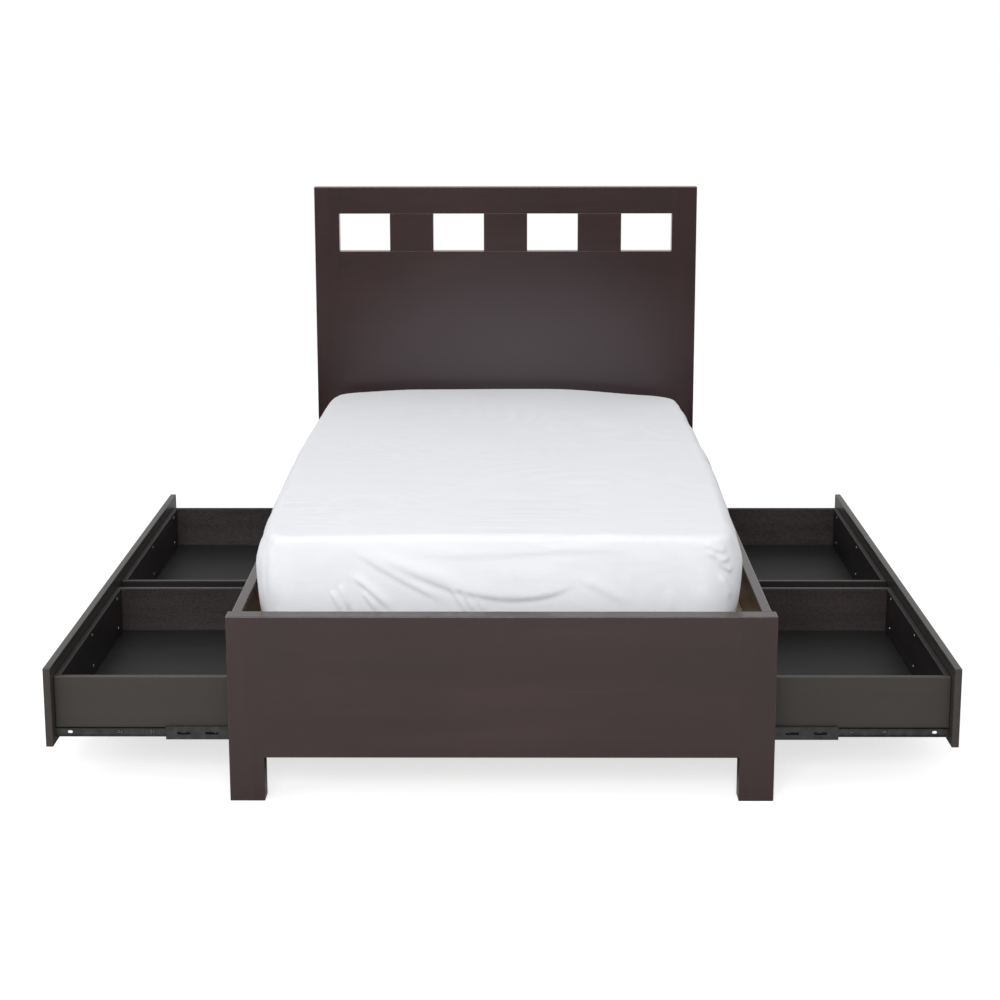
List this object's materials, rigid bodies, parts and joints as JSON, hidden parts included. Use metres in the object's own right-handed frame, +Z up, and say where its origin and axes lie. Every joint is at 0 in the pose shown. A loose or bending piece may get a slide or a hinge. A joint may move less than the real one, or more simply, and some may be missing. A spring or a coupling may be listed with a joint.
{
  "type": "platform bed with storage drawers",
  "caption": "Low platform bed with a pierced panel headboard, flush footboard, mattress in a fitted sheet and long under-bed drawers on full-extension slides.",
  "frame": {"origin": "on the floor, under the centre of the bed with both drawers open by the same amount", "axes": "+Y from the footboard to the headboard, +Z up, +X to the right-hand side seen from the foot"},
  "size_m": [1.85, 2.1, 1.073],
  "materials": {
    "espresso_wood": "dark espresso stain under satin lacquer",
    "drawer_lining": "black-brown stained veneer, satin",
    "raw_pine": "unfinished softwood and plywood",
    "slide_steel": "dark zinc, satin",
    "white_cotton": "white cotton percale"
  },
  "bodies": {
    "frame": {"headboard_panel": "espresso_wood", "headboard_top_rail": "espresso_wood", "headboard_divider_1": "espresso_wood", "headboard_divider_2": "espresso_wood", "headboard_divider_3": "espresso_wood", "headboard_post_left": "espresso_wood", "headboard_post_right": "espresso_wood", "footboard_panel": "espresso_wood", "footboard_post_left": "espresso_wood", "footboard_post_right": "espresso_wood", "side_rail_left": "espresso_wood", "side_rail_right": "espresso_wood", "ledger_left": "raw_pine", "ledger_right": "raw_pine", "ledger_head": "raw_pine", "side_filler_left": "espresso_wood", "side_filler_right": "espresso_wood", "deck_foot": "raw_pine", "deck_head": "raw_pine", "centre_beam": "raw_pine", "centre_leg_foot": "raw_pine", "centre_leg_head": "raw_pine", "partition_foot": "drawer_lining", "partition_middle": "drawer_lining", "partition_head": "drawer_lining", "slide_left_foot_cabinet_member": "slide_steel", "slide_left_head_cabinet_member": "slide_steel", "slide_right_foot_cabinet_member": "slide_steel", "slide_right_head_cabinet_member": "slide_steel"},
    "drawer_left": {"drawer_left_front": "espresso_wood", "drawer_left_foot_near_wall": "drawer_lining", "drawer_left_foot_far_wall": "drawer_lining", "drawer_left_foot_sub_front": "drawer_lining", "drawer_left_foot_back": "drawer_lining", "drawer_left_foot_floor": "drawer_lining", "drawer_left_head_near_wall": "drawer_lining", "drawer_left_head_far_wall": "drawer_lining", "drawer_left_head_sub_front": "drawer_lining", "drawer_left_head_back": "drawer_lining", "drawer_left_head_floor": "drawer_lining", "slide_left_foot_drawer_member": "slide_steel", "slide_left_head_drawer_member": "slide_steel"},
    "slides_left": {"slide_left_foot_middle_member": "slide_steel", "slide_left_head_middle_member": "slide_steel"},
    "drawer_right": {"drawer_right_front": "espresso_wood", "drawer_right_foot_near_wall": "drawer_lining", "drawer_right_foot_far_wall": "drawer_lining", "drawer_right_foot_sub_front": "drawer_lining", "drawer_right_foot_back": "drawer_lining", "drawer_right_foot_floor": "drawer_lining", "drawer_right_head_near_wall": "drawer_lining", "drawer_right_head_far_wall": "drawer_lining", "drawer_right_head_sub_front": "drawer_lining", "drawer_right_head_back": "drawer_lining", "drawer_right_head_floor": "drawer_lining", "slide_right_foot_drawer_member": "slide_steel", "slide_right_head_drawer_member": "slide_steel"},
    "slides_right": {"slide_right_foot_middle_member": "slide_steel", "slide_right_head_middle_member": "slide_steel"},
    "mattress": {"mattress": "white_cotton"}
  },
  "joints": [
    {"name": "drawer_left_slide", "type": "slide", "parent": "frame", "child": "drawer_left", "axis": [-1, 0, 0], "range_m": [-0.388, 0.012]},
    {"name": "slides_left_slide", "type": "slide", "parent": "frame", "child": "slides_left", "axis": [-1, 0, 0], "range_m": [-0.194, 0.006]},
    {"name": "drawer_right_slide", "type": "slide", "parent": "frame", "child": "drawer_right", "axis": [1, 0, 0], "range_m": [-0.388, 0.012]},
    {"name": "slides_right_slide", "type": "slide", "parent": "frame", "child": "slides_right", "axis": [1, 0, 0], "range_m": [-0.194, 0.006]},
    {"name": "mattress_lift", "type": "slide", "parent": "frame", "child": "mattress", "axis": [0, 0, 1], "range_m": [0, 0.15]}
  ],
  "couplings": [
    {"joint": "slides_left_slide", "follows": "drawer_left_slide", "ratio": 0.5},
    {"joint": "slides_right_slide", "follows": "drawer_right_slide", "ratio": 0.5}
  ]
}
